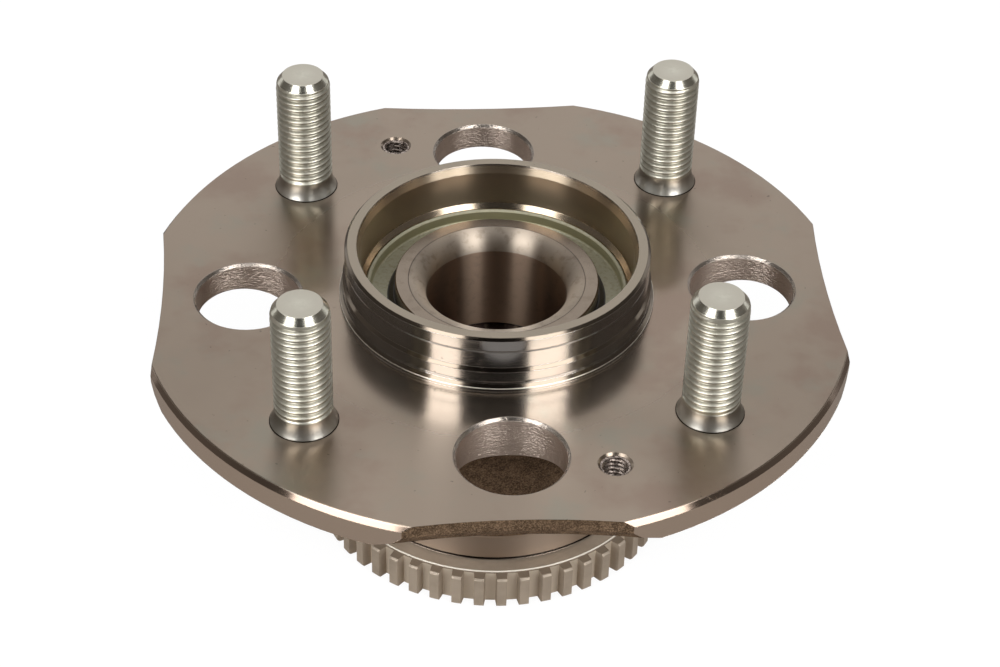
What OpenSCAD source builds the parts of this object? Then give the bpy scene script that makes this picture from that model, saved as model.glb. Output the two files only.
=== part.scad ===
// Wheel hub bearing unit with a turning outer ring. The forged hub is the wheel flange and the
// outer ring of a double row angular contact ball bearing, and it carries four wheel studs and
// a toothed speed sensor ring. Two plain inner rings stand still on the axle's spindle.
// The bearing axis is +Z, outboard. The origin lies on it, in the plane of the wheel face.

/* [Flange] */
// Radius of the round rim between the cut-outs
flange_r = 75.65; // [74:0.05:80]
// Thickness at the rim
flange_t = 5.95; // [5:0.05:8]
// Width of the bevel round the wheel face
rim_bevel_w = 0.9; // [0.4:0.1:1.5]
// Height of that bevel
rim_bevel_h = 1.2; // [0.4:0.1:2]
// Depth of the rim's four cut-outs at their middles
cutout_depth = 5.25; // [4.6:0.05:6]
// Radius of the shallow curve of a cut-out
cutout_r = 255; // [180:5:400]
// Depth of the cut-out on the side of -Y, which is cut less
front_cutout_depth = 4.9; // [4.6:0.05:5.6]
// Radius of its curve
front_cutout_r = 155; // [130:5:255]
// Width by which the forging is rounded off behind a cut-out
back_round_w = 2.8; // [1:0.1:3]
// Height of that rounding
back_round_h = 3.15; // [2:0.05:4]
// Radius inside which the back face swells towards the barrel
swell_start_r = 63; // [58:0.5:68]
// Radius of that swell's curve
swell_r = 64; // [50:1:90]
// Radius of the fillet between the back face and the barrel
fillet_r = 4.6; // [3:0.1:7]

/* [Large holes] */
// Radius of the four large holes
window_r = 11; // [9:0.25:12]
// Radius of the circle on which they lie
window_circle_r = 52.4; // [51:0.1:56]
// Width of the bevel at their mouths
window_bevel = 0.53; // [0.2:0.01:1]

/* [Screw holes] */
// Thread radius of the two screw holes
screw_r = 3; // [2:0.5:4]
// Radius of the circle on which they lie
screw_circle_r = 59.08; // [57:0.01:62]
// Angle of the first one, from +X
screw_angle = 109.8; // [107:0.1:112]
// Width of the bevel at their mouths
screw_bevel = 0.5; // [0.2:0.05:1]

/* [Pilot] */
// Radius that centres the wheel
wheel_pilot_r = 32; // [31:0.05:35]
// Height of the pilot over the wheel face
pilot_h = 12.45; // [11:0.05:16]
// Height of the fine groove in the wheel's band
wheel_line_z = 9.2; // [8.2:0.1:10]
// Height of the fine groove in the brake disc's band
disc_line_z = 1.95; // [1.8:0.05:2.4]
// Depth of the two fine grooves
line_depth = 0.1; // [0.05:0.01:0.12]
// Step in radius from the wheel's band to the brake disc's
pilot_step = 0.55; // [0.45:0.05:0.65]
// Height of the chamfer between the two bands
pilot_step_h = 0.75; // [0.4:0.05:1]
// Height of the upper edge of the brake disc's band
disc_pilot_top = 4.45; // [3.8:0.05:5.2]
// Step in radius from the disc's band to the base ring
base_step = 0.7; // [0.3:0.05:0.8]
// Height of the base ring
base_h = 0.75; // [0.4:0.05:0.8]
// Width of the bevel round the pilot's nose
nose_bevel = 0.55; // [0.2:0.05:1]
// Width of the lead at the mouth of the dust cap's bore
cap_lead_w = 0.76; // [0.3:0.01:1]
// Height of that lead
cap_lead_h = 1.95; // [1:0.05:3]

/* [Barrel] */
// Wall from the seal seat to the machined outside
barrel_wall = 5.15; // [4:0.05:6]
// Thickness that the forged part has over the machined one at its top
forged_swell = 5.1; // [4:0.1:7]
// Draft angle of the forged part
forged_draft = 8; // [5:0.5:9]
// Length of the machined part above the sensor ring
machined_h = 6.4; // [4:0.1:9]
// Depth of the groove at its foot
foot_groove = 0.35; // [0.2:0.05:0.6]
// Height of the shoulder between the forged and machined parts
shoulder_h = 2; // [1:0.1:4]
// Depth of the open end inboard of the inner ring
end_recess = 7.8; // [5:0.1:10]
// Widening of that end over the seal seat
end_relief = 0.85; // [0.4:0.05:1.5]
// Bevel at both edges of the barrel's end
end_bevel = 0.8; // [0.3:0.05:1.2]

/* [Bearing] */
// Bore radius of the inner rings
bore_r = 15; // [14.5:0.1:16]
// Width of one inner ring
ring_w = 24.75; // [24.5:0.05:28]
// Height of the outboard inner ring's face over the wheel face
face_z = 3.5; // [3:0.1:4.5]
// Radius of the rounded entry at the outer ends of the bore
entry_r = 3.7; // [2:0.1:4.5]
// Bevel where the two inner rings meet
joint_bevel = 1.1; // [0.4:0.1:1.6]
// Bevel at the outer edge of an inner ring's face
face_bevel = 0.25; // [0.2:0.05:0.8]
// Wall of an inner ring under its groove
inner_wall = 2.79; // [2.5:0.01:4]
// Depth by which the high land stands short of the pitch circle
land_drop = 1.06; // [0.7:0.02:1.8]
// Ball diameter
ball_d = 9.525; // [9:0.025:9.7]
// Distance from an inner ring's face to its ball row
row_depth = 14.25; // [13.8:0.05:14.8]
// Contact angle
contact_angle = 40; // [30:1:45]
// Groove radius as a share of the ball diameter
groove_ratio = 0.52; // [0.515:0.005:0.54]
// Clearance between the balls and the inner grooves
inner_clearance = 0.05; // [0.03:0.01:0.06]
// Clearance between the balls and the outer grooves
outer_clearance = 0.08; // [0.05:0.01:0.09]
// Height of the outer ring's middle shoulder over the pitch circle
mid_shoulder = 2; // [1.5:0.1:3]
// Height of the low lands over the bottom of the grooves
low_land = 0.38; // [0.2:0.02:0.8]

/* [Cages] */
// Clearance round each ball in its pocket
pocket_clearance = 0.15; // [0.1:0.01:0.2]
// Distance from the ball row to the cage's closed back
cage_back = 6.6; // [6.2:0.1:6.8]
// Distance from the ball row to the tips of its fingers
cage_mouth = 2.4; // [2:0.1:3]
// Distance from the ball row to the step in the cage's bore
cage_step = 3.2; // [2.8:0.1:3.6]
// Radial depth of the cage inside the pitch circle
cage_in = 2; // [1.4:0.1:2.4]
// Radial depth of the cage outside the pitch circle
cage_out = 2.6; // [1.6:0.1:3]
// Clearance between the cage's back and the high land
cage_clearance = 0.45; // [0.3:0.05:0.8]
// Width of the slot between two fingers
finger_slot = 0.9; // [0.5:0.1:1.2]
// Depth of that slot
finger_slot_h = 1.5; // [1:0.1:2]

/* [Seals] */
// Step from the outer groove's bottom to the seal seat
seat_step = 0.305; // [0.2:0.005:0.6]
// Step from the seal seat to the dust cap's bore
cap_step = 1; // [0.5:0.05:1.5]
// Height over the wheel face at which the dust cap's bore begins
cap_floor_z = 2.7; // [2.4:0.05:3]
// Height over that at which its press fit begins
cap_taper_h = 0.9; // [0.85:0.05:1.5]
// Step in radius below the press fit
cap_taper = 0.07; // [0.03:0.01:0.1]
// Thickness of the seal cases' sheet metal
case_t = 0.9; // [0.6:0.05:1.1]
// Depth of the outboard case's web below the inner ring's face
case_recess = 4.3; // [4.2:0.05:4.6]
// Height of the outboard case's rim over the wheel face
case_rim_z = 1.75; // [1.4:0.05:2.2]
// Bevel inside that rim
case_bevel = 0.33; // [0.1:0.01:0.5]
// Radial width of the gap that the outboard lips close
lip_span = 1.64; // [1.3:0.02:2]
// Thickness of a sealing lip
lip_t = 0.3; // [0.2:0.02:0.4]
// Running clearance of a lip
lip_clearance = 0.08; // [0.05:0.01:0.1]
// Thickness of the slinger's sheet metal
slinger_t = 0.6; // [0.4:0.05:0.8]
// Clearance between the slinger and the seal seat
slinger_clearance = 0.55; // [0.4:0.05:0.8]
// Clearance along the axis between the slinger and the inboard case
slinger_gap = 0.5; // [0.35:0.05:0.7]

/* [Studs] */
// Diameter of the circle through the studs
stud_pcd = 114.3; // [112:0.1:120]
// Thread radius of a stud
stud_r = 6; // [5.5:0.1:6.5]
// Height of a stud over the wheel face
stud_h = 29; // [24:0.5:40]
// Pitch of the thread's ridges
thread_pitch = 1.5; // [1:0.25:2]
// Depth of the thread
thread_depth = 0.85; // [0.4:0.05:0.9]
// Radius of the knurled part pressed into the flange
knurl_r = 6.9; // [6.8:0.05:7.5]
// Radius of the plain neck over the wheel face
neck_r = 5.95; // [5.3:0.05:6]
// Height of that neck
neck_h = 3.3; // [2:0.1:5]
// Width of the bevel at the tip
tip_bevel_w = 1.6; // [0.8:0.1:2]
// Height of that bevel
tip_bevel_h = 1.5; // [0.8:0.1:2]
// Radius of a stud's head
head_r = 10; // [8.5:0.1:11]
// Thickness of the head
head_t = 4.2; // [3:0.1:6]
// Radial room round the head in its spot face
head_room = 0.6; // [0.3:0.1:1]

/* [Sensor ring] */
// Number of teeth
teeth = 50; // [44:1:56]
// Radial thickness from the bore to the roots
ring_wall = 3.85; // [3.2:0.05:5]
// Height of the teeth
tooth_h = 2.25; // [1.5:0.05:3]
// Width of a tooth at its tip
tooth_tip_w = 1.8; // [1.4:0.05:2]
// Width of a tooth at its root
tooth_root_w = 2.5; // [2.1:0.05:2.8]
// Length of the ring along the axis
ring_h = 8.2; // [6:0.1:10]
// Length by which it stands out past the barrel's end
ring_overhang = 1.4; // [0.5:0.1:2.5]
// Bevel of the ring's edges
ring_bevel = 0.45; // [0.2:0.05:0.8]
// Step from the ring's top down to the teeth
tooth_drop = 0.2; // [0.1:0.05:0.5]

/* [Hidden] */
$fn = 96;
balls = 13;
rows = ["outboard", "inboard"];
studs = 4;
quarter = 90;
stud_angle = 45;
front_side = 3;
fit = 0.02;
edge_bevel = 0.4;
overcut = 1;
deep = 60;
arc_steps = 8;

function two_digits(i) = i < 10 ? str("0", i) : str(i);
function ball_name(row, i) = str("ball_", row, "_", two_digits(i));

// The bearing, from the bore outwards
ball_r = ball_d / 2;
pitch_r = bore_r + inner_wall + inner_clearance + ball_r;
land_r = pitch_r - land_drop;
inner_low_r = pitch_r - ball_r - inner_clearance + low_land;
outer_low_r = pitch_r + ball_r + outer_clearance - low_land;
mid_r = pitch_r + mid_shoulder;
groove_r = groove_ratio * ball_d;
inner_shift = groove_r - ball_r - inner_clearance;
outer_shift = groove_r - ball_r - outer_clearance;
seat_r = pitch_r + ball_r + outer_clearance + seat_step;
cap_bore_r = seat_r + cap_step;
barrel_r = seat_r + barrel_wall;

// The bearing, along the axis
split_z = face_z - ring_w;
row_offset = ring_w - row_depth;
bottom_z = split_z - ring_w;
cage_room = 0.55;
web_room = 1;
seat_depth = split_z + row_offset + cage_back + cage_room;
other_seat_depth = 2 * split_z - seat_depth;

// The barrel and the sensor ring
barrel_end_z = bottom_z - end_recess;
ring_bottom_z = barrel_end_z - ring_overhang;
ring_top_z = ring_bottom_z + ring_h;
root_r = barrel_r + ring_wall;
machined_z = ring_top_z + machined_h;
forged_r = barrel_r + forged_swell;

// Where the back face's swell turns into the fillet, and the fillet into the barrel
swell_end_r = (forged_r + fillet_r * (cos(forged_draft) - swell_start_r / swell_r))
    / (1 - fillet_r / swell_r);
swell_end_angle = asin((swell_start_r - swell_end_r) / swell_r);
swell_end_z = -flange_t - swell_r * (1 - cos(swell_end_angle));
fillet_x = swell_end_r + fillet_r * sin(swell_end_angle);
fillet_z = swell_end_z - fillet_r * cos(swell_end_angle);
fillet_end_z = fillet_z + fillet_r * sin(forged_draft);
forged_end_z = machined_z + shoulder_h;
forged_end_r = forged_r - tan(forged_draft) * (fillet_end_z - forged_end_z);

// The seals
case_web_z = face_z - case_recess;
case_in_r = land_r + lip_span;
slinger_r = land_r + slinger_t;
case_end_z = bottom_z + slinger_t + slinger_gap;
inboard_web_z = other_seat_depth - web_room;
inboard_case_in_r = slinger_r + lip_span / 2;

function arc(x, z, r, from, to) = [for (i = [0 : arc_steps])
    let (a = from + (to - from) * i / arc_steps) [x + r * cos(a), z + r * sin(a)]];

// A groove that a turning tool leaves, steep above and gentle below
function fine_groove(r, z) =
    [[r, z + 2.5 * line_depth], [r - line_depth, z + 2 * line_depth], [r, z - 2 * line_depth]];

// Copies its children at angles that are a quarter turn apart
module quarters(r, first) {
    for (i = [0 : studs - 1]) rotate(first + quarter * i) translate([r, 0]) children();
}

// A bearing row is drawn as the outboard one, with its centre in the plane z = 0
module at_row(row) {
    if (row == "outboard") translate([0, 0, split_z + row_offset]) children();
    if (row == "inboard") translate([0, 0, split_z - row_offset]) mirror([0, 0, 1]) children();
}

// The hub, as an outline turned round the axis
module pilot_and_flange_section() {
    disc_pilot_r = wheel_pilot_r + pilot_step;
    base_r = disc_pilot_r + base_step;
    polygon(concat(
        [
            [pitch_r, pilot_h],
            [wheel_pilot_r - nose_bevel, pilot_h],
            [wheel_pilot_r, pilot_h - nose_bevel],
        ],
        fine_groove(wheel_pilot_r, wheel_line_z),
        [
            [wheel_pilot_r, disc_pilot_top + pilot_step_h],
            [disc_pilot_r, disc_pilot_top],
        ],
        fine_groove(disc_pilot_r, disc_line_z),
        [
            [disc_pilot_r, base_h + base_step],
            [base_r, base_h],
            [base_r, 0],
            [flange_r - rim_bevel_w, 0],
            [flange_r, -rim_bevel_h],
            [flange_r, -flange_t],
        ],
        arc(swell_start_r, -flange_t - swell_r, swell_r, 90, 90 + swell_end_angle),
        arc(fillet_x, fillet_z, fillet_r, 90 + swell_end_angle, 180 - forged_draft),
        [
            [forged_end_r, forged_end_z],
            [barrel_r, machined_z],
            [barrel_r, ring_top_z + 2 * foot_groove],
            [barrel_r - foot_groove, ring_top_z + foot_groove],
            [barrel_r, ring_top_z],
            [barrel_r, barrel_end_z + end_bevel],
            [barrel_r - end_bevel, barrel_end_z],
            [pitch_r, barrel_end_z],
        ]
    ));
}

// What the dust cap, the seals and the lands take out of the hub, as a section
module hub_bore_section() {
    relief_r = seat_r + end_relief;
    polygon([
        [0, pilot_h + overcut],
        [cap_bore_r + cap_lead_w * (1 + overcut / cap_lead_h), pilot_h + overcut],
        [cap_bore_r, pilot_h - cap_lead_h],
        [cap_bore_r, cap_floor_z + cap_taper_h],
        [cap_bore_r - cap_taper, cap_floor_z],
        [seat_r, cap_floor_z - cap_step],
        [seat_r, seat_depth],
        [outer_low_r, seat_depth],
        [outer_low_r, split_z + row_offset],
        [mid_r, split_z + row_offset],
        [mid_r, split_z - row_offset],
        [outer_low_r, split_z - row_offset],
        [outer_low_r, other_seat_depth],
        [seat_r, other_seat_depth],
        [seat_r, bottom_z - end_relief],
        [relief_r, bottom_z - 2 * end_relief],
        [relief_r, barrel_end_z + end_bevel],
        [relief_r + end_bevel + overcut, barrel_end_z - overcut],
        [0, barrel_end_z - overcut],
    ]);
}

module outer_groove() {
    rotate_extrude()
        translate([pitch_r - outer_shift * cos(contact_angle), outer_shift * sin(contact_angle)])
            circle(r = groove_r);
}

module bevelled_hole(r, bevel) {
    translate([0, 0, -deep]) cylinder(r = r, h = deep + overcut);
    translate([0, 0, -bevel]) cylinder(r1 = r, r2 = r + bevel + overcut, h = bevel + overcut);
}

module stud_seat() {
    translate([0, 0, -flange_t - overcut]) cylinder(r = knurl_r + fit, h = flange_t + 2 * overcut);
    translate([0, 0, -flange_t - deep]) cylinder(r = head_r + head_room, h = deep);
}

// What a cut-out takes away, with the forging's rounded back edge
module cutout(depth, r) {
    translate([flange_r - depth + r, 0]) rotate_extrude() polygon([
        [0, overcut],
        [r, overcut],
        [r, back_round_h - flange_t],
        [r + 0.3 * back_round_w, 0.46 * back_round_h - flange_t],
        [r + back_round_w, -flange_t],
        [r + 1.5 * back_round_w, -flange_t - overcut],
        [0, -flange_t - overcut],
    ]);
}

module hub_flange() {
    color([0.56, 0.51, 0.46])
    difference() {
        rotate_extrude() difference() {
            pilot_and_flange_section();
            hub_bore_section();
        }
        for (row = rows) at_row(row) outer_groove();
        for (i = [0 : studs - 1]) rotate(quarter * i)
            if (i == front_side) cutout(front_cutout_depth, front_cutout_r);
            else cutout(cutout_depth, cutout_r);
        quarters(window_circle_r, 0) bevelled_hole(window_r, window_bevel);
        quarters(stud_pcd / 2, stud_angle) stud_seat();
        for (turn = [0, 180])
            rotate(screw_angle + turn) translate([screw_circle_r, 0])
                bevelled_hole(screw_r, screw_bevel);
    }
}

// The studs, whose thread is drawn as closed ridges
function thread_ridge(z) = [
    [stud_r, z + 0.2 * thread_pitch],
    [stud_r - thread_depth, z + 0.5 * thread_pitch],
    [stud_r - thread_depth, z + 0.7 * thread_pitch],
    [stud_r, z + thread_pitch],
];

module wheel_stud(i) {
    shoulder_z = -(knurl_r - neck_r);
    thread_z = neck_h + edge_bevel;
    ridges = floor((stud_h - tip_bevel_h - thread_z) / thread_pitch);
    color([0.72, 0.73, 0.70])
    rotate(stud_angle + quarter * (i - 1)) translate([stud_pcd / 2, 0])
        rotate_extrude() polygon(concat([
            [0, -flange_t - head_t],
            [head_r - edge_bevel, -flange_t - head_t],
            [head_r, -flange_t - head_t + edge_bevel],
            [head_r, -flange_t],
            [knurl_r, -flange_t],
            [knurl_r, shoulder_z],
            [neck_r, 0],
            [neck_r, neck_h],
            [stud_r, thread_z],
        ], [for (i = [0 : ridges - 1]) each thread_ridge(thread_z + i * thread_pitch)], [
            [stud_r, stud_h - tip_bevel_h],
            [stud_r - tip_bevel_w, stud_h],
            [0, stud_h],
        ]));
}

// The sensor ring
module tooth_outline() {
    polygon([
        [root_r - overcut, -tooth_root_w / 2],
        [root_r, -tooth_root_w / 2],
        [root_r + tooth_h + overcut, -tooth_tip_w / 2],
        [root_r + tooth_h + overcut, tooth_tip_w / 2],
        [root_r, tooth_root_w / 2],
        [root_r - overcut, tooth_root_w / 2],
    ]);
}

module tone_ring() {
    in_r = barrel_r + fit;
    tip_r = root_r + tooth_h;
    tooth_top_z = ring_top_z - tooth_drop;
    color([0.58, 0.55, 0.49])
    intersection() {
        translate([0, 0, ring_bottom_z]) linear_extrude(ring_h) union() {
            circle(r = root_r);
            for (i = [0 : teeth - 1]) rotate(360 * i / teeth - quarter) tooth_outline();
        }
        rotate_extrude() polygon([
            [in_r, ring_bottom_z],
            [tip_r - ring_bevel, ring_bottom_z],
            [tip_r, ring_bottom_z + ring_bevel],
            [tip_r, tooth_top_z - ring_bevel],
            [tip_r - ring_bevel, tooth_top_z],
            [root_r - ring_bevel + tooth_drop, tooth_top_z],
            [root_r - ring_bevel, ring_top_z],
            [in_r, ring_top_z],
        ]);
    }
}

// The bearing's rings, balls and cages
// One inner ring, from its outer face at z = 0 down to the plane where the two rings meet
module inner_ring_section() {
    difference() {
        polygon([
            [bore_r, 0],
            [land_r - face_bevel, 0],
            [land_r, -face_bevel],
            [land_r, -row_depth],
            [inner_low_r, -row_depth],
            [inner_low_r, edge_bevel - ring_w],
            [inner_low_r - edge_bevel, -ring_w],
            [bore_r + joint_bevel, -ring_w],
            [bore_r, joint_bevel - ring_w],
        ]);
        difference() {
            translate([bore_r - overcut, -entry_r]) square([entry_r + overcut, entry_r + overcut]);
            translate([bore_r + entry_r, -entry_r]) circle(r = entry_r);
        }
        translate([
            pitch_r + inner_shift * cos(contact_angle),
            -row_depth - inner_shift * sin(contact_angle)
        ]) circle(r = groove_r);
    }
}

module inner_ring(row) {
    color([0.62, 0.58, 0.52])
    at_row(row) translate([0, 0, row_depth]) rotate_extrude() inner_ring_section();
}

module ball(row, i) {
    color([0.80, 0.81, 0.82])
    at_row(row) rotate(360 * (i - 1) / balls) translate([pitch_r, 0]) sphere(r = ball_r);
}

// A crown cage: a closed ring on the side of the seal, and fingers round each ball
module cage(row) {
    back_in_r = land_r + cage_clearance;
    front_in_r = pitch_r - cage_in;
    out_r = pitch_r + cage_out;
    color([0.16, 0.17, 0.18])
    at_row(row) difference() {
        rotate_extrude() polygon([
            [front_in_r, -cage_mouth],
            [out_r - edge_bevel, -cage_mouth],
            [out_r, edge_bevel - cage_mouth],
            [out_r, cage_back - edge_bevel],
            [out_r - edge_bevel, cage_back],
            [back_in_r, cage_back],
            [back_in_r, cage_step + back_in_r - front_in_r],
            [front_in_r, cage_step],
        ]);
        for (i = [0 : balls - 1]) rotate(360 * i / balls) {
            translate([pitch_r, 0]) sphere(r = ball_r + pocket_clearance);
            rotate(180 / balls)
                translate([pitch_r - cage_in - overcut, -finger_slot / 2, -cage_mouth - overcut])
                    cube([cage_in + cage_out + 2 * overcut, finger_slot, finger_slot_h + overcut]);
        }
    }
}

// The seals
module seal_case_outboard() {
    out_r = seat_r - fit;
    wall_r = out_r - case_t;
    color([0.60, 0.62, 0.52])
    rotate_extrude() polygon([
        [case_in_r, case_web_z],
        [wall_r - case_bevel, case_web_z],
        [wall_r, case_web_z + case_bevel],
        [wall_r, case_rim_z - case_bevel],
        [out_r - case_bevel, case_rim_z],
        [out_r, case_rim_z - case_bevel],
        [out_r, case_web_z - case_t],
        [case_in_r, case_web_z - case_t],
    ]);
}

// Two lips on a rubber bead at the web's edge: one keeps dirt out and the other grease in
module seal_lip_outboard() {
    tip_r = land_r + lip_clearance;
    root_in_r = case_in_r - 2 * lip_t;
    bead_z = case_web_z - case_t;
    color([0.10, 0.09, 0.08])
    rotate_extrude() polygon([
        [case_in_r, case_web_z],
        [root_in_r + lip_t, case_web_z],
        [tip_r + lip_t, case_web_z + case_t],
        [tip_r, case_web_z + case_t],
        [root_in_r - lip_t, case_web_z - lip_t],
        [root_in_r - lip_t, bead_z],
        [tip_r, bead_z - case_t],
        [tip_r + lip_t, bead_z - case_t],
        [root_in_r + lip_t, bead_z],
        [case_in_r, bead_z],
    ]);
}

module seal_case_inboard() {
    out_r = seat_r - fit;
    wall_r = out_r - case_t;
    color([0.55, 0.56, 0.55])
    rotate_extrude() polygon([
        [inboard_case_in_r, inboard_web_z],
        [out_r, inboard_web_z],
        [out_r, case_end_z],
        [wall_r, case_end_z],
        [wall_r, inboard_web_z - case_t],
        [inboard_case_in_r, inboard_web_z - case_t],
    ]);
}

module seal_lip_inboard() {
    bead_z = inboard_web_z - case_t;
    tip_r = slinger_r + lip_clearance;
    bead_out_r = inboard_case_in_r + 4 * lip_t;
    face_tip_z = bottom_z + slinger_t + lip_clearance;
    color([0.10, 0.09, 0.08])
    rotate_extrude() polygon([
        [inboard_case_in_r, bead_z],
        [bead_out_r, bead_z],
        [bead_out_r + lip_t, bead_z - lip_t],
        [bead_out_r + 4 * lip_t, face_tip_z],
        [bead_out_r + 3 * lip_t, face_tip_z],
        [bead_out_r - lip_t, bead_z - 2 * lip_t],
        [tip_r + 2 * lip_t, bead_z - 2 * lip_t],
        [tip_r + lip_t, bead_z - 2 * lip_t - case_t],
        [tip_r, bead_z - 2 * lip_t - case_t],
        [tip_r + lip_t / 2, bead_z - lip_t],
    ]);
}

// The slinger is pressed on the inner ring and covers the inboard lips
module slinger_inboard() {
    in_r = land_r + fit;
    out_r = seat_r - slinger_clearance;
    sleeve_top_z = inboard_web_z - case_t;
    color([0.66, 0.66, 0.64])
    rotate_extrude() polygon([
        [in_r, bottom_z],
        [out_r, bottom_z],
        [out_r, bottom_z + slinger_t],
        [slinger_r, bottom_z + slinger_t],
        [slinger_r, sleeve_top_z],
        [in_r, sleeve_top_z],
    ]);
}

hub_flange();
tone_ring();
for (i = [1 : studs])
    wheel_stud(i);
for (row = rows)
    inner_ring(row);
for (row = rows)
    cage(row);
for (row = rows, i = [1 : balls])
    ball(row, i);
seal_case_outboard();
seal_case_inboard();
seal_lip_outboard();
seal_lip_inboard();
slinger_inboard();
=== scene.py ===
import math
import bmesh
import bpy
from mathutils import Matrix, Quaternion, Vector


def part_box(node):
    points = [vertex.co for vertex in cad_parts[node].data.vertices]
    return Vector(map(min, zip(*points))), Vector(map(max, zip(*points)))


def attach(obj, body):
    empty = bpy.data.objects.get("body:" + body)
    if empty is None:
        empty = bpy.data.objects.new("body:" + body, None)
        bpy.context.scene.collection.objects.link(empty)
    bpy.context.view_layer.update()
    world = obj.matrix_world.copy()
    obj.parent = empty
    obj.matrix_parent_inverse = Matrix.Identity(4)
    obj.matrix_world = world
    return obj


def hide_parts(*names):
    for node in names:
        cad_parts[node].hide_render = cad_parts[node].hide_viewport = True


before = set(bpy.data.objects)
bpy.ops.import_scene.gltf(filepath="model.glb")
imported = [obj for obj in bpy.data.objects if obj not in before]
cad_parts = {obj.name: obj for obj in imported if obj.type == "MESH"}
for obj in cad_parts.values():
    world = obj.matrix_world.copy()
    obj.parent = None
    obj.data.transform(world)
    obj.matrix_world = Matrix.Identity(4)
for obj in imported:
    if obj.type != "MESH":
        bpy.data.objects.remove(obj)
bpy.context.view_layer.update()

mm = 0.001
scene = bpy.context.scene
scene.view_settings.view_transform = "Standard"
print("frame loaded")

# Angles in degrees, lengths in mm. The camera looks from the front, a little left of it and from above.
camera = {"azimuth": -4.358, "elevation": 38.547, "roll": 1.639, "distance": 507.4, "lens": 84.95,
          "sensor": 36, "near": 10, "far": 20000, "aimRight": 0.992, "aimUp": -11.409}


def setCamera():
    azimuth, elevation = math.radians(camera["azimuth"]), math.radians(camera["elevation"])
    forward = Vector((-math.sin(azimuth) * math.cos(elevation),
                      math.cos(azimuth) * math.cos(elevation), -math.sin(elevation)))
    right = Vector((math.cos(azimuth), math.sin(azimuth), 0))
    aim = right * camera["aimRight"] + Vector((0, 0, camera["aimUp"]))
    data = bpy.data.cameras.new("camera")
    data.lens, data.sensor_width = camera["lens"], camera["sensor"]
    data.clip_start, data.clip_end = camera["near"] * mm, camera["far"] * mm
    eye = bpy.data.objects.new("camera", data)
    scene.collection.objects.link(eye)
    turn = forward.to_track_quat("-Z", "Y") @ Quaternion((0, 0, 1), math.radians(camera["roll"]))
    eye.rotation_euler = turn.to_euler()
    eye.location = (aim - forward * camera["distance"]) * mm
    scene.camera = eye


setCamera()
print("camera set")


# Node helpers: a value in inputs is a number, a colour or another node's output
def setInputs(tree, node, inputs):
    for key, value in inputs.items():
        if isinstance(value, bpy.types.NodeSocket):
            tree.links.new(value, node.inputs[key])
        else:
            node.inputs[key].default_value = value


def addNode(tree, kind, inputs, **settings):
    node = tree.nodes.new(kind)
    for name, value in settings.items():
        setattr(node, name, value)
    setInputs(tree, node, inputs)
    return node


def calc(tree, operation, first, second=0.0):
    return addNode(tree, "ShaderNodeMath", {0: first, 1: second}, operation=operation).outputs[0]


def times(tree, first, second):
    return calc(tree, "MULTIPLY", first, second)


def plus(tree, first, second):
    return calc(tree, "ADD", first, second)


def distance(tree, first, second):
    return calc(tree, "SQRT", plus(tree, times(tree, first, first), times(tree, second, second)))


def blendColour(tree, share, first, second):
    return addNode(tree, "ShaderNodeMix", {0: share, 6: first, 7: second}, data_type="RGBA").outputs[2]


def blendValue(tree, share, first, second):
    return addNode(tree, "ShaderNodeMix", {0: share, 2: first, 3: second}, data_type="FLOAT").outputs[0]


# Masks: rise is 1 above its two limits and fall is 1 below them, with a soft change between the two
def rise(tree, value, low, high, start=0.0, end=1.0):
    return addNode(tree, "ShaderNodeMapRange", {0: value, 1: low, 2: high, 3: start, 4: end},
                   interpolation_type="SMOOTHSTEP").outputs[0]


def fall(tree, value, low, high):
    return rise(tree, value, low, high, 1.0, 0.0)


def between(tree, value, low, high, blur):
    return times(tree, rise(tree, value, low - blur, low + blur), fall(tree, value, high - blur, high + blur))


def outsideOf(tree, mask):
    return calc(tree, "SUBTRACT", 1.0, mask)


def colour(red, green, blue):
    return (red, green, blue, 1)


# The position on the piece in mm
def spotNode(tree):
    spot = addNode(tree, "ShaderNodeTexCoord", {}).outputs["Object"]
    return addNode(tree, "ShaderNodeVectorMath", {0: spot, 3: 1 / mm}, operation="SCALE").outputs[0]


# The same, with its parts and its distance from the bearing axis
def placeNodes(tree):
    spot = spotNode(tree)
    x, y, z = addNode(tree, "ShaderNodeSeparateXYZ", {0: spot}).outputs
    return {"spot": spot, "x": x, "y": y, "z": z, "radius": distance(tree, x, y)}


# Noise settings are its scale, its detail, its roughness and, where one is given, its stretch
def noise(tree, vector, scale, detail, roughness, stretch=(1, 1, 1)):
    moved = addNode(tree, "ShaderNodeMapping", {0: vector, 3: stretch}).outputs[0]
    return addNode(tree, "ShaderNodeTexNoise",
                   {"Vector": moved, "Scale": scale, "Detail": detail, "Roughness": roughness}).outputs[0]


# The fine rings that a lathe leaves
def turnedLines(tree, place, settings):
    rings = addNode(tree, "ShaderNodeCombineXYZ", {0: place["radius"], 1: place["z"], 2: 0.0}).outputs[0]
    return noise(tree, rings, *settings)


# Gloss stretched along those rings
def turnedGloss(tree, place, amount):
    quarterTurn, backwards = 0.25, times(tree, place["y"], -1)
    along = addNode(tree, "ShaderNodeCombineXYZ", {0: backwards, 1: place["x"], 2: 0.0}).outputs[0]
    tangent = addNode(tree, "ShaderNodeVectorTransform", {0: along}, vector_type="VECTOR",
                      convert_from="OBJECT", convert_to="WORLD").outputs[0]
    return {"Anisotropic": amount, "Anisotropic Rotation": quarterTurn, "Tangent": tangent}


def bump(tree, height, depth, **more):
    return addNode(tree, "ShaderNodeBump", {"Height": height, "Distance": depth * mm, **more}).outputs[0]


def startFinish(name):
    material = bpy.data.materials.new(name)
    material.use_nodes = True
    tree = material.node_tree
    tree.nodes.clear()
    shader = addNode(tree, "ShaderNodeBsdfPrincipled", {})
    addNode(tree, "ShaderNodeOutputMaterial", {0: shader.outputs[0]})
    return material, tree, shader


def dress(piece, material):
    piece.data.materials.clear()
    piece.data.materials.append(material)


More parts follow.
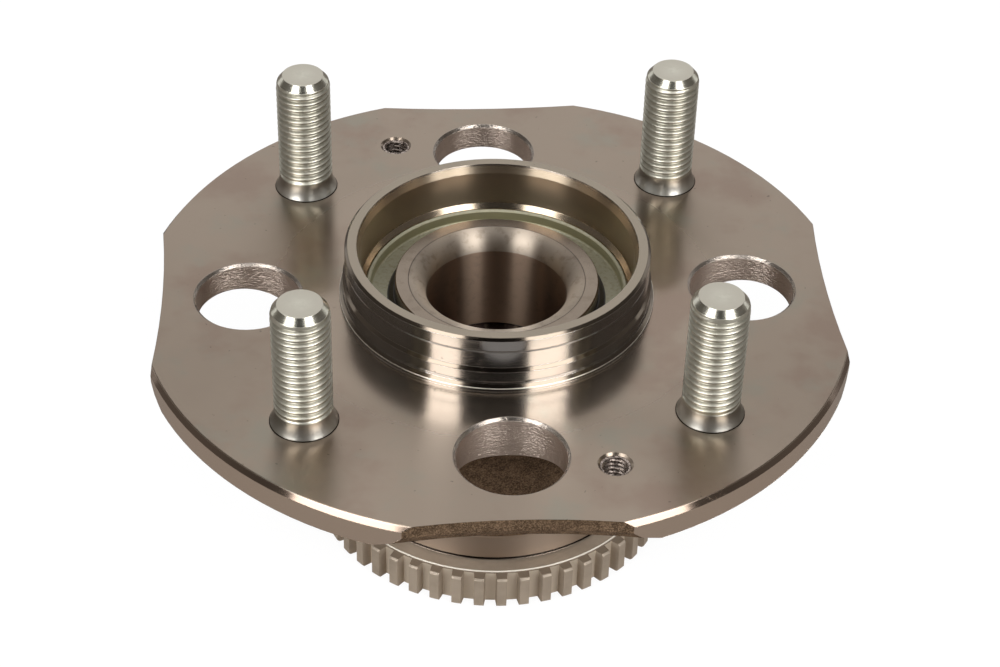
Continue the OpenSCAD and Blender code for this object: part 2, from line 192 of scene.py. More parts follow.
def newPiece(name, mesh, body, material, replaced=()):
    piece = bpy.data.objects.new(name, mesh)
    scene.collection.objects.link(piece)
    dress(piece, material)
    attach(piece, body)
    if replaced:
        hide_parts(*replaced)
    return piece


# Shading is smooth across edges that bend less than the sharp angle
def skinMesh(skin, name, sharpAngle):
    for face in skin.faces:
        face.smooth = True
    for edge in skin.edges:
        edge.smooth = len(edge.link_faces) == 2 and edge.calc_face_angle(0) < math.radians(sharpAngle)
    mesh = bpy.data.meshes.new(name)
    skin.to_mesh(mesh)
    skin.free()
    return mesh


# Skin that the lathe hasn't touched: dark scale with a fine grain over broad lumps
forging = {"dark": colour(0.055, 0.031, 0.015), "light": colour(0.27, 0.18, 0.11), "rough": 0.62, "metal": 0.65,
           "grain": (3.0, 3, 0.75), "grainTone": (0.42, 0.66), "grainShare": 0.75,
           "lumps": (0.5, 3, 0.6), "lumpTone": (0.4, 0.7), "lumpShare": 0.3, "lumpHeight": 1.5, "height": 9}


def forgedSkin(tree, spot):
    grain, lumps = noise(tree, spot, *forging["grain"]), noise(tree, spot, *forging["lumps"])
    tone = plus(tree, times(tree, rise(tree, grain, *forging["grainTone"]), forging["grainShare"]),
                times(tree, rise(tree, lumps, *forging["lumpTone"]), forging["lumpShare"]))
    height = plus(tree, grain, times(tree, lumps, forging["lumpHeight"]))
    return blendColour(tree, tone, forging["dark"], forging["light"]), times(tree, height, forging["height"])


# A few thin straight scratches: the crests of a noise drawn out along one direction
scratch = {"stretch": (0.03, 1, 1), "detail": 1, "roughness": 0.4, "crest": 0.5, "width": 0.004,
           "patches": (0.09, 1, 0.5), "where": (0.62, 0.7)}


def scratches(tree, spot, angle, scale, depth):
    turned = addNode(tree, "ShaderNodeMapping", {0: spot, 2: (0, 0, math.radians(angle))}).outputs[0]
    field = noise(tree, turned, scale, scratch["detail"], scratch["roughness"], scratch["stretch"])
    line = between(tree, field, scratch["crest"], scratch["crest"], scratch["width"])
    where = rise(tree, noise(tree, turned, *scratch["patches"]), *scratch["where"])
    return times(tree, times(tree, line, where), depth)


# The hub: turned face and pilot, drilled windows, forged back and cut-outs. Where a size ends in R or Z, it is
# a radius or a height in mm: a pair is where a mask changes, and a third number is the blur of its two ends.
hub = {"face": colour(0.318, 0.258, 0.206), "warm": colour(0.285, 0.217, 0.173),
       "cool": colour(0.292, 0.260, 0.211), "warmGrain": (0.04, 4, 0.6), "warmWhere": (0.48, 0.66),
       "coolGrain": (0.055, 4, 0.6, (1, 1, 2)), "coolWhere": (0.52, 0.7),
       "windowAt": 52.4, "windowR": (11.03, 11.06), "mouthR": (11.53, 11.59), "mouthZ": (-0.7, -0.6),
       "bevelW": 0.9, "bevelH": 1.2, "insideRimR": 75.59, "cutR": 65, "cutTopZ": -0.03, "rimR": (74.8, 74.95),
       "backZ": (-5.93, -5.89), "forgedR": (34.2, 34.5), "turnedZ": (-38.9, -38.6), "barrelR": (31.5, 31.7),
       "grooveZ": (-46.95, -46.4, 0.08), "grooveR": (32, 32.2), "footZ": (0.02, 0.1), "noseZ": (12.39, 12.42),
       "footEdgeR": (33.15, 33.35, 0.04), "footEdgeZ": (0.65, 0.85, 0.04), "slantShadeNormalZ": (0.25, 0.92, 0.04),
       "capWallR": (29.25, 29.55), "capFloorZ": (2.6, 2.8), "capRough": (0.19, 0.28),
       "faceRough": (0.13, 0.21), "roughGrain": (0.12, 4, 0.6), "studsR": (42, 50), "studsRough": 0.14,
       "speckGrain": (0.8, 2, 0.5), "speckWhere": (0.72, 0.76), "speckShare": 0.4,
       "lineGrain": (9, 2, 0.6), "lineHeight": 0.06, "drillGrain": (0.9, 2, 0.7, (1, 1, 3.5)),
       "drilledHeight": 15, "mouthHeight": 5, "bumpDepth": 0.02, "gloss": 0.8, "softEdge": 0.22, "edgeSamples": 6,
       "scratches": ((25, 1.1, 0.5), (-62, 0.9, 0.4)),
       # Colours by mask, in the order in which they are laid on, and roughness the same way
       "colours": {"pilot": colour(0.545, 0.55, 0.55), "nose": colour(0.31, 0.265, 0.21),
                   "chamfer": colour(0.17, 0.14, 0.11), "footEdgeHighlight": colour(0.85, 0.79, 0.70),
                   "specks": colour(0.02, 0.015, 0.012), "barrel": colour(0.50, 0.40, 0.32),
                   "groove": colour(0.02, 0.015, 0.012), "cap": colour(0.40, 0.325, 0.24),
                   "rim": colour(0.82, 0.68, 0.56), "bevel": colour(0.25, 0.19, 0.15),
                   "drilled": colour(0.52, 0.43, 0.37), "mouth": colour(0.37, 0.325, 0.285)},
       "roughs": {"rim": 0.14, "pilot": 0.14, "footEdgeHighlight": 0.5, "barrel": 0.42, "drilled": 0.3, "mouth": 0.27}}


def hubMasks(tree, place):
    z, radius = place["z"], place["radius"]
    sides = [calc(tree, "ABSOLUTE", place[side]) for side in ("x", "y")]
    fromWindow = distance(tree, calc(tree, "SUBTRACT", calc(tree, "MAXIMUM", *sides), hub["windowAt"]),
                          calc(tree, "MINIMUM", *sides))
    mouth = times(tree, rise(tree, z, *hub["mouthZ"]), fall(tree, fromWindow, *hub["mouthR"]))
    drilled = calc(tree, "MAXIMUM", mouth, fall(tree, fromWindow, *hub["windowR"]))
    # A cut-out's wall is what stands inside the turned rim and its bevel
    overBevel = calc(tree, "MAXIMUM", plus(tree, z, hub["bevelH"]), 0.0)
    insideR = calc(tree, "SUBTRACT", hub["insideRimR"], times(tree, overBevel, hub["bevelW"] / hub["bevelH"]))
    cut = times(tree, calc(tree, "LESS_THAN", radius, insideR), calc(tree, "GREATER_THAN", radius, hub["cutR"]))
    cut = times(tree, cut, calc(tree, "LESS_THAN", z, hub["cutTopZ"]))
    # Besides the cut-outs, the back face and the barrel's upper part are forged
    back = times(tree, fall(tree, z, *hub["backZ"]),
                 times(tree, rise(tree, radius, *hub["forgedR"]), rise(tree, z, *hub["turnedZ"])))
    forged = times(tree, calc(tree, "MAXIMUM", back, cut), outsideOf(tree, drilled))
    pilot = times(tree, rise(tree, z, *hub["footZ"]), rise(tree, radius, *hub["capWallR"]))
    rim = times(tree, rise(tree, radius, *hub["rimR"]), outsideOf(tree, forged))
    # Faces whose normal slants between the given heights get painted shade: the pilot's chamfers and the rim's
    # bevel are painted darker
    normal = addNode(tree, "ShaderNodeNewGeometry", {}).outputs["True Normal"]
    slantShadeMask = between(tree, addNode(tree, "ShaderNodeSeparateXYZ", {0: normal}).outputs[2], *hub["slantShadeNormalZ"])
    specks = rise(tree, noise(tree, place["spot"], *hub["speckGrain"]), *hub["speckWhere"])
    return {"pilot": pilot, "nose": times(tree, pilot, rise(tree, z, *hub["noseZ"])),
            "chamfer": times(tree, pilot, slantShadeMask),
            # The pale band round the pilot's foot edge is a painted highlight
            "footEdgeHighlight": times(tree, between(tree, radius, *hub["footEdgeR"]), between(tree, z, *hub["footEdgeZ"])),
            "specks": times(tree, specks, hub["speckShare"]),
            "barrel": times(tree, rise(tree, radius, *hub["barrelR"]), fall(tree, z, *hub["turnedZ"])),
            # The groove round the barrel just above the sensor ring is painted near black as painted shade
            "groove": times(tree, between(tree, z, *hub["grooveZ"]), rise(tree, radius, *hub["grooveR"])),
            "cap": fall(tree, radius, *hub["capWallR"]), "rim": rim, "bevel": times(tree, rim, slantShadeMask),
            "drilled": drilled, "mouth": mouth, "forged": forged}


def hubFinish():
    material, tree, shader = startFinish("forged_hub")
    place = placeNodes(tree)
    spot, masks = place["spot"], hubMasks(tree, place)
    forgedPaint, forgedHeight = forgedSkin(tree, spot)

    warmth = rise(tree, noise(tree, spot, *hub["warmGrain"]), *hub["warmWhere"])
    coolness = rise(tree, noise(tree, spot, *hub["coolGrain"]), *hub["coolWhere"])
    paint = blendColour(tree, coolness, blendColour(tree, warmth, hub["face"], hub["warm"]), hub["cool"])
    for name, laidOn in hub["colours"].items():
        paint = blendColour(tree, masks[name], paint, laidOn)
    paint = blendColour(tree, masks["forged"], paint, forgedPaint)

    rough = blendValue(tree, noise(tree, spot, *hub["roughGrain"]), *hub["faceRough"])
    # Round the studs the face has been handled and is less bright
    rough = plus(tree, rough, rise(tree, place["radius"], *hub["studsR"], 0, hub["studsRough"]))
    for name, level in hub["roughs"].items():
        rough = blendValue(tree, masks[name], rough, level)
    inCap = rise(tree, place["z"], *hub["capFloorZ"], *hub["capRough"])
    rough = blendValue(tree, masks["cap"], rough, inCap)
    rough = blendValue(tree, masks["forged"], rough, forging["rough"])

    height = times(tree, turnedLines(tree, place, hub["lineGrain"]), hub["lineHeight"])
    for settings in hub["scratches"]:
        height = calc(tree, "SUBTRACT", height, scratches(tree, spot, *settings))
    drillMarks = noise(tree, spot, *hub["drillGrain"])
    height = blendValue(tree, masks["drilled"], height, times(tree, drillMarks, hub["drilledHeight"]))
    height = blendValue(tree, masks["mouth"], height, times(tree, drillMarks, hub["mouthHeight"]))
    height = blendValue(tree, masks["forged"], height, forgedHeight)
    # The normal of a surface whose sharp edges are rounded a little
    softNormal = addNode(tree, "ShaderNodeBevel", {"Radius": hub["softEdge"] * mm}, samples=hub["edgeSamples"])
    setInputs(tree, shader, {"Base Color": paint, "Roughness": rough,
                             "Metallic": blendValue(tree, masks["forged"], 1.0, forging["metal"]),
                             "Normal": bump(tree, height, hub["bumpDepth"], Normal=softNormal.outputs[0]),
                             **turnedGloss(tree, place, hub["gloss"])})
    return material


dress(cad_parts["hub_flange"], hubFinish())
print("hub finished")

# The sensor ring: sintered iron, satin, with its edges lightly broken
ring = {"colour": colour(0.44, 0.37, 0.295), "dark": colour(0.36, 0.30, 0.235), "top": colour(0.27, 0.215, 0.16),
        "root": colour(0.60, 0.52, 0.42), "lip": colour(0.85, 0.80, 0.70), "rough": (0.42, 0.6), "metal": 0.45,
        "fineGrain": (3.5, 4, 0.7), "broadGrain": (0.12, 3, 0.6), "darkWhere": (0.35, 0.7),
        "streaks": (2.5, 3, 0.6, (1, 1, 0.08)), "bumpDepth": 0.012,
        "toothR": (36.6, 36.7), "toothZ": (-47.3, -47.23), "rootR": (36.85, 36.95), "rootZ": (-47.5, -47.3),
        "lipR": (36.24, 36.48, 0.06), "lipZ": (-47.3, -47.2),
        "edge": 0.12, "edgeSegments": 2, "edgeAngle": 28, "weld": 0.002, "flatAngle": 0.05}


def sinteredFinish():
    material, tree, shader = startFinish("sensor_ring")
    place = placeNodes(tree)
    spot, z, radius = place["spot"], place["z"], place["radius"]
    fine = noise(tree, spot, *ring["fineGrain"])
    broad = rise(tree, noise(tree, spot, *ring["broadGrain"]), *ring["darkWhere"])
    paint = blendColour(tree, broad, ring["colour"], ring["dark"])
    onTooth = times(tree, rise(tree, radius, *ring["toothR"]), rise(tree, z, *ring["toothZ"]))
    # The roots between the teeth are painted lighter as painted light
    paintedRootLight = times(tree, fall(tree, radius, *ring["rootR"]), fall(tree, z, *ring["rootZ"]))
    # The thin pale line along the ring's lip is a painted highlight
    paintedLipHighlight = times(tree, between(tree, radius, *ring["lipR"]), rise(tree, z, *ring["lipZ"]))
    for mask, name in ((onTooth, "top"), (paintedRootLight, "root"), (paintedLipHighlight, "lip")):
        paint = blendColour(tree, mask, paint, ring[name])
    height = plus(tree, fine, noise(tree, spot, *ring["streaks"]))
    setInputs(tree, shader, {"Base Color": paint, "Roughness": blendValue(tree, fine, *ring["rough"]),
                             "Metallic": ring["metal"], "Normal": bump(tree, height, ring["bumpDepth"])})
    return material


# The CAD ring as one closed skin with its flat faces whole and its edges broken
def makeRing():
    skin = bmesh.new()
    skin.from_mesh(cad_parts["tone_ring"].data)
    bmesh.ops.remove_doubles(skin, verts=skin.verts, dist=ring["weld"] * mm)
    bmesh.ops.dissolve_limit(skin, angle_limit=math.radians(ring["flatAngle"]), verts=skin.verts, edges=skin.edges)
    mesh = skinMesh(skin, "sensor_ring", ring["edgeAngle"])
    piece = newPiece("sensor_ring", mesh, "hub", sinteredFinish(), ("tone_ring",))
    bevel = piece.modifiers.new("broken edges", "BEVEL")
    bevel.width, bevel.segments = ring["edge"] * mm, ring["edgeSegments"]
    bevel.limit_method, bevel.angle_limit = "ANGLE", math.radians(ring["edgeAngle"])
    bevel.harden_normals = False
    shade = piece.modifiers.new("even shading", "WEIGHTED_NORMAL")
    shade.keep_sharp = False


makeRing()
print("sensor ring made")

# Threads are drawn in mm on the Z axis, and moved to their places afterwards
thread = {"weld": 0.004, "cutWeld": 0.0001, "rimSlack": 0.02, "skinWeld": 0.001}


# One turn of a thread's outline is spun, then stacked and cut to length
def threadSkin(size, low, high):
    skin = bmesh.new()
    pitch, steps = size["pitch"], size["steps"]
    start = low - 2 * pitch
    column = [skin.verts.new((size["r"] - size["depth"] * drop, 0, start + share * pitch))
              for share, drop in size["outline"]]
    edges = [skin.edges.new(pair) for pair in zip(column, column[1:])]
    bmesh.ops.spin(skin, geom=column + edges, cent=(0, 0, 0), axis=(0, 0, 1), dvec=(0, 0, pitch / steps),
                   angle=2 * math.pi, steps=steps, use_merge=False)
    oneTurn = skin.verts[:] + skin.edges[:] + skin.faces[:]
    for number in range(1, math.ceil((high - start) / pitch) + 1):
        copied = bmesh.ops.duplicate(skin, geom=oneTurn)["geom"]
        bmesh.ops.translate(skin, vec=(0, 0, number * pitch), verts=only(copied, bmesh.types.BMVert))
    bmesh.ops.remove_doubles(skin, verts=skin.verts, dist=thread["weld"])
    for cut, way in ((low, -1), (high, 1)):
        bmesh.ops.bisect_plane(skin, geom=skin.verts[:] + skin.edges[:] + skin.faces[:], plane_co=(0, 0, cut),
                               plane_no=(0, 0, way), clear_outer=True, dist=thread["cutWeld"])
    return skin


def only(items, kind):
    return [item for item in items if isinstance(item, kind)]


# The open edges of a skin that lie at one height
def rimEdges(skin, level):
    return [edge for edge in skin.edges if len(edge.link_faces) == 1
            and all(abs(vert.co.z - level) < thread["rimSlack"] for vert in edge.verts)]


# Draws an open rim on to another radius and height, and gives what that makes
def drawRim(skin, edges, z, radius):
    made = bmesh.ops.extrude_edge_only(skin, edges=edges)["geom"]
    for vert in only(made, bmesh.types.BMVert):
        reach = math.hypot(vert.co.x, vert.co.y)
        vert.co = (vert.co.x * radius / reach, vert.co.y * radius / reach, z)
    return made


# Draws a rim on along an outline that ends on the axis
def closeRim(skin, edges, outline):
    for z, radius in outline:
        made = drawRim(skin, edges, z, radius)
        edges = only(made, bmesh.types.BMEdge)
    bmesh.ops.pointmerge(skin, verts=only(made, bmesh.types.BMVert), merge_co=(0, 0, outline[-1][0]))


def threadMesh(skin, name, sharpAngle):
    bmesh.ops.remove_doubles(skin, verts=skin.verts, dist=thread["skinWeld"])
    bmesh.ops.recalc_face_normals(skin, faces=skin.faces)
    return skinMesh(skin, name, sharpAngle)


# A copy of a mesh at a distance from the bearing axis and an angle round it
def placedCopy(mesh, name, apart, degrees):
    copied = mesh.copy()
    copied.name = name
    copied.transform(Matrix.Scale(mm, 4) @ Matrix.Rotation(math.radians(degrees), 4, "Z")
                     @ Matrix.Translation((apart, 0, 0)))
    return copied


# Wheel studs, M12 with a pitch of 1.5: rolled thread, chamfered tip, flared shoulder over the wheel face.
# The thread's outline is one pitch from crest to crest, in shares of the pitch and of its depth. The shank,
# head and tip are outlines too, as heights and radii.
stud = {"count": 4, "firstAngle": 45, "circleR": 57.15, "r": 5.88, "depth": 0.72, "pitch": 1.5, "steps": 56,
        "outline": [(0.0, 0.0), (0.09, 0.0), (0.15, 0.07), (0.22, 0.24), (0.34, 0.70), (0.41, 0.93), (0.46, 1.0),
                    (0.51, 1.0), (0.56, 0.93), (0.63, 0.70), (0.75, 0.24), (0.82, 0.07), (0.88, 0.0), (1.0, 0.0)],
        "skinLow": 3.1, "threadLow": 3.5, "runOut": 1.3, "threadTop": 26.6, "chamferZ": 27.6, "chamferR": 5.62,
        "tipZ": 29.0, "tipR": 4.45, "fadeZ": 27.8, "fadeH": 1.2, "sharpAngle": 40,
        "flareR": 6.88, "flareCurve": 1.6, "flareShares": (0.15, 0.3, 0.45, 0.6, 0.75, 0.9, 1),
        "shank": [(-0.1, 6.88), (-0.6, 6.85), (-5.95, 6.85), (-5.95, 9.6), (-6.25, 10), (-9.55, 10),
                  (-10.0, 9.75), (-10.15, 9.2), (-10.15, 0)],
        "tip": [(29.0, 4.35), (28.98, 3.85), (28.95, 0)]}


# The radius that the thread mustn't pass at a height: the shank's, then the tip's chamfer
def studCover(z):
    if z > stud["chamferZ"]:
        share = (z - stud["chamferZ"]) / (stud["tipZ"] - stud["chamferZ"])
        return stud["chamferR"] + (stud["tipR"] - stud["chamferR"]) * share
    share = max(0, (z - stud["threadTop"]) / (stud["chamferZ"] - stud["threadTop"]))
    return stud["r"] + (stud["chamferR"] - stud["r"]) * share


def studMesh():
    low, high = stud["skinLow"], stud["tipZ"]
    skin = threadSkin(stud, low, high)
    # The thread runs out towards the shoulder and into the chamfer
    for vert in skin.verts:
        reach = math.hypot(vert.co.x, vert.co.y)
        full = min(1, max(0, (vert.co.z - stud["threadLow"]) / stud["runOut"]),
                   max(0, (stud["fadeZ"] - vert.co.z) / stud["fadeH"]))
        wanted = min(stud["r"] - (stud["r"] - reach) * full, studCover(vert.co.z))
        vert.co.x *= wanted / reach
        vert.co.y *= wanted / reach
    flare = [(low * (1 - share), stud["r"] + (stud["flareR"] - stud["r"]) * share ** stud["flareCurve"])
             for share in stud["flareShares"]]
    closeRim(skin, rimEdges(skin, low), flare + stud["shank"])
    closeRim(skin, rimEdges(skin, high), stud["tip"])
    return threadMesh(skin, "threaded_stud", stud["sharpAngle"])


zinc = {"colour": colour(0.60, 0.58, 0.50), "shade": colour(0.50, 0.485, 0.405), "disc": colour(0.52, 0.49, 0.42),
        "neck": colour(0.50, 0.485, 0.44), "foot": colour(0.03, 0.025, 0.02), "mottle": (0.6, 4, 0.65),
        "shadeWhere": (0.4, 0.65), "discZ": (28.93, 28.98), "neckZ": (3.4, 3.8), "chamferZ": (27.6, 27.7),
        "footZ": (-0.17, 0.17, 0.03), "rough": (0.32, 0.42), "chamferRough": 0.2, "discRough": 0.45,
        "neckRough": 0.3, "bumpDepth": 0.006}


def zincFinish():
    material, tree, shader = startFinish("stud_plating")
    place = placeNodes(tree)
    z, mottle = place["z"], noise(tree, place["spot"], *zinc["mottle"])
    paint = blendColour(tree, rise(tree, mottle, *zinc["shadeWhere"]), zinc["colour"], zinc["shade"])
    onDisc, onNeck = rise(tree, z, *zinc["discZ"]), fall(tree, z, *zinc["neckZ"])
    # The band at the stud's foot, where it meets the flange, is painted near black as painted shade
    for mask, name in ((onDisc, "disc"), (onNeck, "neck"), (between(tree, z, *zinc["footZ"]), "foot")):
        paint = blendColour(tree, mask, paint, zinc[name])
    rough = blendValue(tree, mottle, *zinc["rough"])
    rough = blendValue(tree, rise(tree, z, *zinc["chamferZ"]), rough, zinc["chamferRough"])
    rough = blendValue(tree, onDisc, rough, zinc["discRough"])
    rough = blendValue(tree, onNeck, rough, zinc["neckRough"])
    setInputs(tree, shader, {"Base Color": paint, "Roughness": rough, "Metallic": 1.0,
                             "Normal": bump(tree, mottle, zinc["bumpDepth"])})
    return material


plating, drawnStud = zincFinish(), studMesh()
for number in range(stud["count"]):
    angle = stud["firstAngle"] + 360 / stud["count"] * number
    mesh = placedCopy(drawnStud, "threaded_stud", stud["circleR"], angle)
    newPiece("threaded_stud_%d" % (number + 1), mesh, "hub", plating,
             ("wheel_stud_%d" % (number + 1),))
print("studs made")

# M6 threads in the two disc screw holes, each a thin sleeve lining its hole
tapped = {"circleR": 59.08, "angles": (109.8, 289.8), "r": 2.93, "depth": 0.5, "pitch": 1.0, "steps": 32,
          "outline": [(0.0, 1.0), (0.12, 1.0), (0.45, 0.05), (0.5, 0.0), (0.55, 0.05), (0.88, 1.0), (1.0, 1.0)],
          "sleeveR": 2.99, "top": -0.48, "foot": -5.9, "sharpAngle": 25,
          "crest": colour(0.50, 0.42, 0.37), "root": colour(0.05, 0.035, 0.03), "grain": (2.5, 3, 0.6),
          "rootWhere": (0.35, 0.65), "rough": (0.24, 0.4)}


def tappedMesh():
    ends = (tapped["foot"], tapped["top"])
    sleeve = threadSkin(tapped, *ends)
    outer = []
    for level in ends:
        made = drawRim(sleeve, rimEdges(sleeve, level), level, tapped["sleeveR"])
        outer += only(made, bmesh.types.BMEdge)
    bmesh.ops.bridge_loops(sleeve, edges=outer)
    return threadMesh(sleeve, "screw_thread", tapped["sharpAngle"])


def tappedFinish():
    material, tree, shader = startFinish("screw_thread")
    grain = noise(tree, spotNode(tree), *tapped["grain"])
    paint = blendColour(tree, rise(tree, grain, *tapped["rootWhere"]), tapped["crest"], tapped["root"])
    setInputs(tree, shader, {"Base Color": paint, "Roughness": blendValue(tree, grain, *tapped["rough"]),
                             "Metallic": 1.0})
    return material


threadSteel, drawnThread = tappedFinish(), tappedMesh()
for number, angle in enumerate(tapped["angles"]):
    mesh = placedCopy(drawnThread, "screw_thread", tapped["circleR"], angle)
    newPiece("screw_thread_%d" % (number + 1), mesh, "hub", threadSteel)
print("screw threads made")

# Inner rings: ground bearing steel, painted dark where the two meet in the bore as painted shade, with a thin dark
# line painted round the outer edge of the entry
race = {"face": colour(0.27, 0.22, 0.175), "stain": colour(0.20, 0.155, 0.115), "entry": colour(0.46, 0.39, 0.32),
        "bore": colour(0.31, 0.22, 0.16), "line": colour(0.03, 0.02, 0.016),
        "boreR": (15.25, 15.35), "boreZ": (-0.65, -0.55), "jointR": (17.5, 17.6), "jointZ": (-22.85, -20.45, 0.1),
        "entryR": (18.6, 18.7), "entryLineR": (18.6, 18.76, 0.05), "lineShare": 0.85,
        "patches": (0.5, 4, 0.6), "stainWhere": (0.5, 0.7), "stainShare": 0.4, "lineGrain": (8, 2, 0.6),
        "faceRough": (0.16, 0.22), "entryRough": 0.44, "boreRough": 0.35, "gloss": 1.0, "bumpDepth": 0.002}


def groundFinish():
    material, tree, shader = startFinish("bearing_ring")
    place = placeNodes(tree)
    z, radius = place["z"], place["radius"]
    inBore = times(tree, fall(tree, radius, *race["boreR"]), fall(tree, z, *race["boreZ"]))
    onEntry = times(tree, fall(tree, radius, *race["entryR"]), outsideOf(tree, inBore))
    jointShade = times(tree, fall(tree, radius, *race["jointR"]), between(tree, z, *race["jointZ"]))
    patches = noise(tree, place["spot"], *race["patches"])
    stained = times(tree, rise(tree, patches, *race["stainWhere"]), race["stainShare"])
    entryLine = times(tree, between(tree, radius, *race["entryLineR"]), race["lineShare"])
    paint = race["face"]
    for mask, name in ((onEntry, "entry"), (inBore, "bore"), (jointShade, "line"), (stained, "stain"),
                       (entryLine, "line")):
        paint = blendColour(tree, mask, paint, race[name])
    rough = blendValue(tree, onEntry, blendValue(tree, patches, *race["faceRough"]), race["entryRough"])
    rough = blendValue(tree, inBore, rough, race["boreRough"])
    lines = turnedLines(tree, place, race["lineGrain"])
    setInputs(tree, shader, {"Base Color": paint, "Roughness": rough, "Metallic": 1.0,
                             "Normal": bump(tree, lines, race["bumpDepth"]),
                             **turnedGloss(tree, place, race["gloss"])})
    return material


ground = groundFinish()
for row in ("outboard", "inboard"):
    dress(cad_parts["inner_ring_" + row], ground)
print("inner rings finished")

# The outboard seal case: pale green coating, darker on its upright wall
sage = {"colour": colour(0.38, 0.365, 0.27), "wall": colour(0.27, 0.25, 0.15), "stain": colour(0.30, 0.28, 0.195),
        "mottle": (1.1, 4, 0.6), "stainWhere": (0.45, 0.7), "wallR": (26.6, 26.8), "wallZ": (1.3, 1.6),
        "rough": (0.38, 0.5), "metal": 0.6, "bumpDepth": 0.01}


def coatedFinish():
    material, tree, shader = startFinish("outboard_case")
    place = placeNodes(tree)
    mottle = noise(tree, place["spot"], *sage["mottle"])
    paint = blendColour(tree, rise(tree, mottle, *sage["stainWhere"]), sage["colour"], sage["stain"])
    onWall = times(tree, rise(tree, place["radius"], *sage["wallR"]), fall(tree, place["z"], *sage["wallZ"]))
    paint = blendColour(tree, onWall, paint, sage["wall"])
    setInputs(tree, shader, {"Base Color": paint, "Roughness": blendValue(tree, mottle, *sage["rough"]),
                             "Metallic": sage["metal"], "Normal": bump(tree, mottle, sage["bumpDepth"])})
    return material


# The inboard seal case and slinger: bare sheet steel, pressed and turned
sheet = {"case": colour(0.40, 0.39, 0.36), "caseRough": (0.32, 0.44), "slinger": colour(0.47, 0.46, 0.43),
         "slingerRough": (0.24, 0.36), "shade": (0.8, 0.8, 0.78), "mottle": (0.8, 4, 0.6),
         "shadeWhere": (0.4, 0.7), "gloss": 0.4, "bumpDepth": 0.006}


def sheetFinish(name, tint, rough):
    material, tree, shader = startFinish(name)
    place = placeNodes(tree)
    mottle = noise(tree, place["spot"], *sheet["mottle"])
    darker = colour(*[level * share for level, share in zip(tint, sheet["shade"])])
    paint = blendColour(tree, rise(tree, mottle, *sheet["shadeWhere"]), tint, darker)
    setInputs(tree, shader, {"Base Color": paint, "Roughness": blendValue(tree, mottle, *rough), "Metallic": 1.0,
                             "Normal": bump(tree, mottle, sheet["bumpDepth"]),
                             **turnedGloss(tree, place, sheet["gloss"])})
    return material


# Rubber, balls and cages have one grain that sways both colour and roughness
rubber = {"name": "seal_rubber", "grain": (2.0, 3, 0.6), "first": colour(0.012, 0.010, 0.008),
          "second": colour(0.035, 0.028, 0.02), "rough": (0.35, 0.55), "metal": 0.0, "bumpDepth": 0.01}
lapped = {"name": "ball_steel", "grain": (0.8, 3, 0.6), "first": colour(0.66, 0.65, 0.64),
          "second": colour(0.60, 0.59, 0.575), "rough": (0.05, 0.11), "metal": 1.0, "bumpDepth": 0}
moulded = {"name": "cage_plastic", "grain": (5, 3, 0.6), "first": colour(0.022, 0.022, 0.024),
           "second": colour(0.045, 0.045, 0.048), "rough": (0.42, 0.55), "metal": 0.0, "bumpDepth": 0.01}


def plainFinish(look):
    material, tree, shader = startFinish(look["name"])
    grain = noise(tree, spotNode(tree), *look["grain"])
    setInputs(tree, shader, {"Base Color": blendColour(tree, grain, look["first"], look["second"]),
                             "Roughness": blendValue(tree, grain, *look["rough"]), "Metallic": look["metal"]})
    if look["bumpDepth"]:
        setInputs(tree, shader, {"Normal": bump(tree, grain, look["bumpDepth"])})
    return material


lipRubber = plainFinish(rubber)
dress(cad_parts["seal_case_outboard"], coatedFinish())
dress(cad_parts["seal_case_inboard"], sheetFinish("inboard_case", sheet["case"], sheet["caseRough"]))
dress(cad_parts["slinger_inboard"], sheetFinish("slinger", sheet["slinger"], sheet["slingerRough"]))
for row in ("outboard", "inboard"):
    dress(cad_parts["seal_lip_" + row], lipRubber)
print("seals finished")

ballSteel, cagePlastic = plainFinish(lapped), plainFinish(moulded)
for name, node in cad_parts.items():
    if name.startswith("ball_"):
        dress(node, ballSteel)
    if name.startswith("cage_"):
        dress(node, cagePlastic)
print("balls and cages finished")

# The studio: a pale floor, two soft lamps at the front, and a dark curtain between and beside them.
# Glow is a brightness. The curtain's is dark in its middle and grey beside and outside the dark heights.
studio = {"lampSide": 40.2, "lampFar": 620, "lampWide": 330, "lampLow": 110, "lampTop": 1080, "lampWatts": 6.4,
          "white": colour(1, 1, 1), "roomGlow": 0.55,
          "floorR": 6000, "floorSides": 64, "floorGlow": 0.9, "floorGloss": 0.13, "floorBounce": 0.35,
          "reflectedFloorTint": colour(1, 0.80, 0.65), "floorMatt": colour(0.12, 0.12, 0.12), "paintedShadowR": (33, 34),
          "curtainR": 1100, "curtainSteps": 48, "cloth": colour(0.012, 0.011, 0.010),
          "clothGlow": colour(1, 0.93, 0.86), "greyX": (560, 900), "darkGlow": (0, 0.13),
          "outerGlow": (0.08, 0.24), "darkZ": (300, 1800, 60),
          # Each curtain's name, span in degrees, foot and head
          "curtains": (("curtain", 220, -55, 2700), ("wings", 304, 250, 1300))}


# Camera rays get the first level, gloss and glass the second, and the room's own light the third
def rayLevel(tree, seen, mirrored, room):
    rays = addNode(tree, "ShaderNodeLightPath", {}).outputs
    indirect = calc(tree, "MAXIMUM", rays["Is Glossy Ray"], rays["Is Transmission Ray"])
    return blendValue(tree, rays["Is Camera Ray"], blendValue(tree, indirect, room, mirrored), seen)


def makeWorld():
    world = bpy.data.worlds.new("studio")
    world.use_nodes = True
    tree = world.node_tree
    tree.nodes.clear()
    back = addNode(tree, "ShaderNodeBackground",
                   {0: studio["white"], 1: rayLevel(tree, 1.0, 1.0, studio["roomGlow"])})
    addNode(tree, "ShaderNodeOutputWorld", {0: back.outputs[0]})
    scene.world = world


